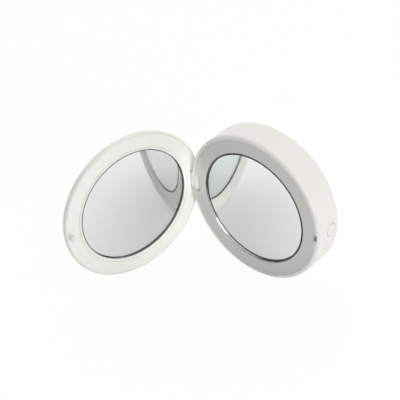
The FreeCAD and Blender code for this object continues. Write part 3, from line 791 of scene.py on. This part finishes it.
@dataclass
class RingBezel:
    """Pale ring round a mirror, with a bevelled inner edge, its openings and softened corners."""

    half: Half
    node: str
    plastic: Slot
    profile: list[Pair]
    notches: list[Cutout]
    window: Cutout | None = None
    softness: float = 0.00012
    soft_segments: int = 2
    soft_angle: float = math.radians(25.0)
    segments: int = 288
    clearance: float = 1.2
    order_step: float = 1e-6

    def sections(self) -> list[tuple[list[Pair], bool]]:
        """Cross-sections of the ring, in order round it.

        Returns:
            For each section its points in the ring's plane, and whether it lies in the window.
        """
        cutouts = self.notches + ([self.window] if self.window else [])
        radii = [radius for radius, _ in self.profile]
        reach = [(cutout.angle, self.clearance * cutout.half_width / min(radii)) for cutout in cutouts]
        found = []
        for step in range(self.segments):
            angle = FULL_TURN * step / self.segments - math.pi / 2
            if all(abs(angle - middle) > width for middle, width in reach):
                points = [(radius * math.cos(angle), radius * math.sin(angle)) for radius in radii]
                found.append((angle, points, False))
        for cutout in cutouts:
            windowed = cutout is self.window
            places = [cutout.half_width * (2 * step / cutout.steps - 1) for step in range(cutout.steps + 1)]
            columns = [(sideways, math.inf if windowed else cutout.inner) for sideways in places]
            if not windowed:
                columns = [(places[0], math.inf)] + columns + [(places[-1], math.inf)]
            for order, (sideways, limit) in enumerate(columns):
                across = [min(math.sqrt(radius**2 - sideways**2), limit) for radius in radii]
                points = [cutout.point(distance, sideways) for distance in across]
                found.append((cutout.angle + self.order_step * (order - len(columns)), points, windowed))
        found.sort(key=lambda section: section[0])
        return [(points, windowed) for _, points, windowed in found]

    def build(self, axes: CaseAxes) -> Piece:
        """Build the ring in its half.

        Args:
            axes: Axes of the two halves.

        Returns:
            The new piece.
        """
        mesh = bmesh.new()
        depths = [depth for _, depth in self.profile]
        columns = []
        for points, windowed in self.sections():
            column = [mesh.verts.new((*point, depth)) for point, depth in zip(points, depths)]
            columns.append((column, windowed))
        for (column, windowed), (after, also) in zip(columns, columns[1:] + columns[:1]):
            self.skin(mesh, column, after, windowed and also)
        if self.window:
            inside = [column for column, windowed in columns if windowed]
            for column in (inside[0], inside[-1]):
                mesh.faces.new([column[place] for place in self.pierced()])
        piece = finished_mesh(mesh, f"{self.half.value}_ring", axes.matrix(self.half))
        soft = piece.modifiers.new("softened_corners", "BEVEL")
        soft.width = self.softness
        soft.segments = self.soft_segments
        soft.limit_method = "ANGLE"
        soft.angle_limit = self.soft_angle
        soft.harden_normals = True
        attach(piece, self.half.value)
        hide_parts(self.node)
        LOG.info("built %s", piece.name)
        return piece

    def pierced(self) -> list[int]:
        """Find the window's corners.

        Returns:
            Places in the profile of its four corners, or none where the ring has no window.
        """
        if not self.window:
            return []
        sides = (self.window.inner, self.window.outer)
        return [place for place, (radius, _) in enumerate(self.profile) if radius in sides]

    def skin(
        self,
        mesh: bmesh.types.BMesh,
        column: list[bmesh.types.BMVert],
        after: list[bmesh.types.BMVert],
        open_here: bool,
    ) -> None:
        """Join two neighbouring sections with faces, and line the window between them.

        Args:
            mesh: Mesh that gets the faces.
            column: Points of one section.
            after: Points of the next.
            open_here: Whether the window lies between them.
        """
        pairs = [(point, (point + 1) % len(column)) for point in range(len(column))]
        if open_here:
            first, second, third, fourth = self.pierced()
            pairs = [pair for pair in pairs if pair not in ((first, second), (third, fourth))]
            pairs += [(fourth, first), (second, third)]
        for point, ahead in pairs:
            mesh.faces.new((column[point], column[ahead], after[ahead], after[point]))

    def dress(self, piece: Piece, paints: Paintbox) -> None:
        """Give the ring its plastic."""
        piece.data.materials.append(paints.get(FINISHES[self.plastic]))


@dataclass
class CaseHalf:
    """One half of the case, with a pale ring round its mirror."""

    pane: MirrorPane
    nodes: dict[str, Slot]
    ring_inner: float = 0.0326
    ring_thickness: float = 0.0012

    def ring(self) -> RingBezel:
        """Pale ring of this half."""
        raise NotImplementedError

    def build(self, frame: dict, axes: CaseAxes, paints: Paintbox) -> None:
        """Build the ring and the pane and dress the CAD nodes.

        Args:
            axes: Axes of the two halves.
            paints: Materials.
        """
        for maker in (self.ring(), self.pane):
            maker.dress(maker.build(axes), paints)
        paints.coat_nodes(frame, self.nodes)


@dataclass
class BaseHalf(CaseHalf):
    """Thick half: casing, pale ring, mirror and the carrier behind them."""

    pane: MirrorPane = field(default_factory=lambda: MirrorPane(
        Half.BASE, "base_mirror", rise=0.0005, edge=CLEAR_GLASS
    ))
    nodes: dict[str, Slot] = field(default_factory=lambda: {
        "base_shell": Slot.WHITE_PLASTIC,
        "base_mirror_tape": Slot.FOAM_TAPE,
        "light_carrier": Slot.CARRIER_PLASTIC,
        "carrier_screws": Slot.STEEL,
    })
    ring_outer: float = 0.0400
    bevel_width: float = 0.00025
    bevel_depth: float = 0.00015
    lug_notch: Cutout = Cutout(math.pi, 0.0051, 0.0364)
    hook_slot: Cutout = Cutout(0.0, 0.0020, 0.03885)

    def ring(self) -> RingBezel:
        """Pale ring of the base.

        Returns:
            The ring, not built yet.
        """
        inner, outer = self.ring_inner, self.ring_outer
        profile = [
            (inner, self.bevel_depth),
            (inner + self.bevel_width, 0.0),
            (outer, 0.0),
            (outer, self.ring_thickness),
            (inner, self.ring_thickness),
        ]
        notches = [self.lug_notch, self.hook_slot]
        return RingBezel(Half.BASE, "base_bezel", Slot.DIFFUSER_PLASTIC, profile, notches)


@dataclass
class LidHalf(CaseHalf):
    """Thin half: cover, pale ring with a fine groove and the mirror's seat, mirror and hook."""

    pane: MirrorPane = field(default_factory=lambda: MirrorPane(
        Half.LID, "lid_mirror", rise=0.0003, bevel_width=0.0001, bevel_depth=0.0001
    ))
    nodes: dict[str, Slot] = field(default_factory=lambda: {
        "lid_shell": Slot.WHITE_PLASTIC,
        "lid_mirror_tape": Slot.FOAM_TAPE,
        "catch_hook": Slot.WHITE_PLASTIC,
    })
    ring_outer: float = 0.0416
    bevel_width: float = 0.0014
    bevel_depth: float = 0.00035
    groove_width: float = 0.0004
    groove_depth: float = 0.0005
    softness: float = 0.00005
    seat_wall: float = 0.0012
    seat_width: float = 0.0036
    seat_front: float = 0.0024
    seat_back: float = 0.0032
    lug_notch: Cutout = Cutout(math.pi, 0.0053, 0.0365)
    hook_window: Cutout = Cutout(0.0, 0.0017, 0.03955, 0.04095)

    def ring(self) -> RingBezel:
        """Pale ring of the lid, with the seat below its glass.

        Returns:
            The ring, not built yet.
        """
        inner, outer = self.ring_inner, self.ring_outer
        groove = inner + self.bevel_width
        wall = inner + self.seat_wall
        seat = inner - self.seat_width
        profile = [
            (inner, self.bevel_depth),
            (groove, 0.0),
            (groove, self.groove_depth),
            (groove + self.groove_width, self.groove_depth),
            (groove + self.groove_width, 0.0),
            (self.hook_window.inner, 0.0),
            (self.hook_window.outer, 0.0),
            (outer, 0.0),
            (outer, self.ring_thickness),
            (self.hook_window.outer, self.ring_thickness),
            (self.hook_window.inner, self.ring_thickness),
            (wall, self.ring_thickness),
            (wall, self.seat_back),
            (seat, self.seat_back),
            (seat, self.seat_front),
            (inner, self.seat_front),
        ]
        notches = [self.lug_notch]
        return RingBezel(
            Half.LID, "lid_bezel", Slot.RING_PLASTIC, profile, notches, self.hook_window, self.softness
        )


@dataclass
class Latch:
    """Push button with its slide, spring and switch, and the hinge's pin."""

    spring_room: float = 0.0054
    travel: float = 0.0012
    nodes: dict[str, Slot] = field(default_factory=lambda: {
        "latch_button": Slot.WHITE_PLASTIC,
        "latch_slide": Slot.SLIDE_PLASTIC,
        "switch_plunger": Slot.SLIDE_PLASTIC,
        "lamp_switch": Slot.BLACK_PLASTIC,
        "hinge_pin": Slot.STEEL,
    })

    def build(self, frame: dict, paints: Paintbox) -> None:
        """Build the spring and dress the CAD nodes."""
        paints.coat(self.coil(frame), Slot.STEEL)
        paints.coat_nodes(frame, self.nodes)

    def coil(self, frame: dict) -> Piece:
        """Build the spring as a copy of the CAD spring, carried by the base.

        Returns:
            The new piece.
        """
        coil = bpy.data.objects.new("latch_coil", frame["nodes"]["latch_spring"].data.copy())
        bpy.context.scene.collection.objects.link(coil)
        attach(coil, Half.BASE.value)
        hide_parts("latch_spring")
        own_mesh(coil)
        LOG.info("built %s", coil.name)
        return coil


@dataclass
class LampCircuit:
    """Lamp boards, cell, charging board and the leads between them."""

    nodes: dict[str, Slot] = field(default_factory=lambda: {
        "led_board_upper": Slot.LAMP_BOARD,
        "led_board_lower": Slot.LAMP_BOARD,
        "leds_upper": Slot.LAMP_RESIN,
        "leds_lower": Slot.LAMP_RESIN,
        "battery_cell": Slot.CELL_FOIL,
        "battery_pad": Slot.FOAM_TAPE,
        "main_board": Slot.CIRCUIT_BOARD,
        "board_chips": Slot.BLACK_PLASTIC,
        "charge_socket": Slot.STEEL,
        "socket_tongue": Slot.BLACK_PLASTIC,
        "board_screws": Slot.STEEL,
        "battery_leads": Slot.RED_INSULATION,
        "switch_leads": Slot.BLACK_INSULATION,
        "lamp_leads": Slot.WHITE_INSULATION,
        "jumper_leads": Slot.WHITE_INSULATION,
    })

    def dress(self, frame: dict, paints: Paintbox) -> None:
        """Dress the CAD nodes."""
        paints.coat_nodes(frame, self.nodes)


@dataclass(frozen=True)
class Lamp:
    """A round studio lamp aimed at the compact."""

    name: str
    direction: Triple
    distance: float
    size: float
    level: float

    def build(self, target: Vector) -> None:
        """Set the lamp up so that it alone lights a white card at the target to its level.

        Args:
            target: Point that the lamp is aimed at.
        """
        data = bpy.data.lights.new(self.name, "AREA")
        data.shape = "DISK"
        data.size = self.size
        data.energy = self.level * (math.pi * self.distance) ** 2
        self.hang(data, target)

    def hang(self, data: bpy.types.Light, target: Vector) -> None:
        """Put the lamp in its place and aim it.

        Args:
            data: Settings of the lamp.
            target: Point that the lamp is aimed at.
        """
        lamp = bpy.data.objects.new(self.name, data)
        towards = Vector(self.direction).normalized()
        lamp.location = target + towards * self.distance
        lamp.rotation_euler = towards.to_track_quat("Z", "Y").to_euler()
        bpy.context.scene.collection.objects.link(lamp)


@dataclass(frozen=True)
class Spot(Lamp):
    """A studio lamp with a narrow beam that fades towards its edge."""

    beam: float
    aim: Triple

    def build(self, target: Vector) -> None:
        """Set the lamp up so that its beam has its radius and its level where it is aimed.

        Args:
            target: Point that the aim is counted from.
        """
        data = bpy.data.lights.new(self.name, "SPOT")
        data.shadow_soft_size = self.size / 2
        data.spot_size = 2 * math.atan(self.beam / self.distance)
        data.spot_blend = 1.0
        data.energy = self.level * (2 * math.pi * self.distance) ** 2
        self.hang(data, target + Vector(self.aim))


@dataclass(frozen=True)
class Softbox:
    """A broad soft glow in the surround, to one side of the compact."""

    direction: Triple
    level: float
    focus: float = 4.0

    def glow(self, tree: Tree, heading: Socket) -> Socket:
        """Add the glow's nodes to the surround.

        Args:
            tree: Node tree of the surround.
            heading: Direction that is looked in.

        Returns:
            Strength of the glow in that direction.
        """
        lean = tree.add("ShaderNodeVectorMath")
        lean.operation = "DOT_PRODUCT"
        tree.join(heading, lean.inputs[0])
        lean.inputs[1].default_value = Vector(self.direction).normalized()
        facing = tree.reckon("MAXIMUM", lean.outputs["Value"], 0.0)
        return tree.reckon("MULTIPLY", tree.reckon("POWER", facing, self.focus), self.strength())

    def strength(self) -> float:
        """Peak strength at which the glow alone lights a white card that faces it to its level."""
        return self.level * (self.focus + 2.0) / 2.0


@dataclass(frozen=True)
class PhotoCamera:
    """Camera at the photograph's viewing angle."""

    place: Triple = (0.281586, -0.2971204, 0.3658278)
    turn: float = math.radians(43.3487)
    tilt: float = math.radians(36.6817)
    roll: float = math.radians(-3.7281)
    lens: float = 91.866
    sensor: float = 36.0
    near: float = 0.01
    far: float = 50.0

    def build(self) -> None:
        """Set the camera up and make it the scene's own."""
        data = bpy.data.cameras.new("photo_camera")
        data.lens = self.lens
        data.sensor_width = self.sensor
        data.clip_start = self.near
        data.clip_end = self.far
        camera = bpy.data.objects.new("photo_camera", data)
        back = Vector((
            math.sin(self.turn) * math.cos(self.tilt),
            -math.cos(self.turn) * math.cos(self.tilt),
            math.sin(self.tilt),
        ))
        level = Vector((math.cos(self.turn), math.sin(self.turn), 0.0))
        rise = level.cross(-back)
        right = level * math.cos(self.roll) + rise * math.sin(self.roll)
        up = rise * math.cos(self.roll) - level * math.sin(self.roll)
        axes = Matrix((right, up, back)).transposed().to_4x4()
        camera.matrix_world = Matrix.Translation(Vector(self.place)) @ axes
        bpy.context.scene.collection.objects.link(camera)
        bpy.context.scene.camera = camera


@dataclass
class Studio:
    """Pale floor, soft light and a white surround."""

    foot: Vector
    floor_radius: float = 6.0
    floor_segments: int = 96
    floor_colour: Colour = (0.90, 0.90, 0.90)
    floor_second: Colour = (0.88, 0.88, 0.88)
    floor_clouds: float = 3.0
    floor_roughness: float = 0.9
    seen_white: float = 0.93
    # Painted glow: share of white that the mirrors see on the floor, rising from the hinge's foot outwards.
    mirrored_white: Pair = (0.0, 0.65)
    mirrored_reach: Pair = (0.016, 0.08)
    softboxes: list[Softbox] = field(default_factory=lambda: [
        Softbox((0.71, 0.0, 0.71), 0.18),
        Softbox((0.5, 0.5, 0.71), 0.30),
        Softbox((-0.5, 0.5, 0.71), 0.35),
        Softbox((-0.71, 0.0, 0.71), 0.31),
        Softbox((-0.91, 0.38, 0.14), 0.14),
        Softbox((0.1, -0.55, 0.83), 0.06),
    ])
    target: Vector = field(default_factory=lambda: Vector((0.0, 0.0, 0.0425)))
    lamps: list[Lamp] = field(default_factory=lambda: [
        Lamp("side_lamp", (0.93, -0.27, 0.25), 1.0, 0.55, 0.25),
        Lamp("front_lamp", (0.60, -0.62, 0.50), 1.0, 0.55, 0.11),
    ])
    spots: list[Spot] = field(default_factory=lambda: [
        Spot("hinge_spot", (0.88, -0.40, 0.25), 0.8, 0.02, 0.20, 0.050, (-0.002, -0.0093, 0.0235)),
        Spot("lug_spot", (0.25, -0.90, 0.35), 0.8, 0.01, 0.26, 0.015, (-0.0035, -0.002, 0.0455)),
    ])

    def floor(self) -> None:
        """Lay the floor: white to the camera and, as a painted white glow that grows with distance from the
        hinge, to the mirrors, with soft shadows.
        """
        mesh = bmesh.new()
        bmesh.ops.create_circle(
            mesh, cap_ends=True, radius=self.floor_radius, segments=self.floor_segments
        )
        data = bpy.data.meshes.new("floor")
        mesh.to_mesh(data)
        mesh.free()
        floor = bpy.data.objects.new("floor", data)
        bpy.context.scene.collection.objects.link(floor)
        graph = Graph("floor_card")
        clouds = graph.noise(self.floor_clouds)
        graph.feed("Base Color", graph.blend(clouds, self.floor_colour, self.floor_second))
        graph.set(Roughness=self.floor_roughness, Specular_IOR_Level=0.0)
        mirrored = graph.spread(graph.distance(self.foot), *self.mirrored_white, self.mirrored_reach)
        white = graph.add("ShaderNodeEmission")
        graph.mix(self.ray_share(graph, mirrored), graph.shader, white, graph.output)
        data.materials.append(graph.owner)

    def ray_share(self, graph: Graph, mirrored: Socket) -> Socket:
        """Share of white for rays from the camera, and for those that come by way of gloss or glass.

        Args:
            graph: Tree that gets the nodes.
            mirrored: Share for gloss and glass.

        Returns:
            The share for the ray in hand.
        """
        path = graph.add("ShaderNodeLightPath").outputs
        camera = graph.reckon("MULTIPLY", path["Is Camera Ray"], self.seen_white)
        gloss = graph.reckon("MAXIMUM", path["Is Glossy Ray"], path["Is Transmission Ray"])
        return graph.reckon("MAXIMUM", camera, graph.reckon("MULTIPLY", gloss, mirrored))

    def surround(self) -> None:
        """Light the scene by soft glows from a surround that camera and mirrors see as white."""
        tree = Tree(bpy.data.worlds.new("studio"))
        path = tree.add("ShaderNodeLightPath").outputs
        seen = tree.reckon("MAXIMUM", path["Is Camera Ray"], path["Is Glossy Ray"])
        seen = tree.reckon("MAXIMUM", seen, path["Is Transmission Ray"])
        heading = tree.add("ShaderNodeTexCoord").outputs["Generated"]
        total, *others = [softbox.glow(tree, heading) for softbox in self.softboxes]
        for glow in others:
            total = tree.reckon("ADD", total, glow)
        soft, white = tree.add("ShaderNodeBackground"), tree.add("ShaderNodeBackground")
        for background in (soft, white):
            background.inputs["Color"].default_value = WHITE
        tree.join(total, soft.inputs["Strength"])
        tree.mix(seen, soft, white, tree.add("ShaderNodeOutputWorld"))
        bpy.context.scene.world = tree.owner

    def build(self) -> None:
        """Set up the floor, the surround, the lamps and the camera."""
        self.floor()
        self.surround()
        for lamp in self.lamps:
            lamp.build(self.target)
        for spot in self.spots:
            spot.build(self.foot)
        PhotoCamera().build()
        bpy.context.scene.view_settings.view_transform = "Standard"


def clear_scene() -> None:
    """Remove what a new Blender file holds."""
    for thing in list(bpy.data.objects):
        bpy.data.objects.remove(thing)


def main() -> None:
    """Load the frame, build and dress the sub-assemblies in order, and set up the studio."""
    logging.basicConfig(level=logging.INFO, format="%(name)s: %(message)s")
    clear_scene()
    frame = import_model()
    paints = Paintbox()
    base, lid = BaseHalf(), LidHalf()
    axes = CaseAxes.read(frame, base.pane.recess)
    base.build(frame, axes, paints)
    lid.build(frame, axes, paints)
    Latch().build(frame, paints)
    LampCircuit().dress(frame, paints)
    Studio(Vector((axes.hinge.x, axes.hinge.y, 0.0))).build()


if __name__ == "__main__":
    main()
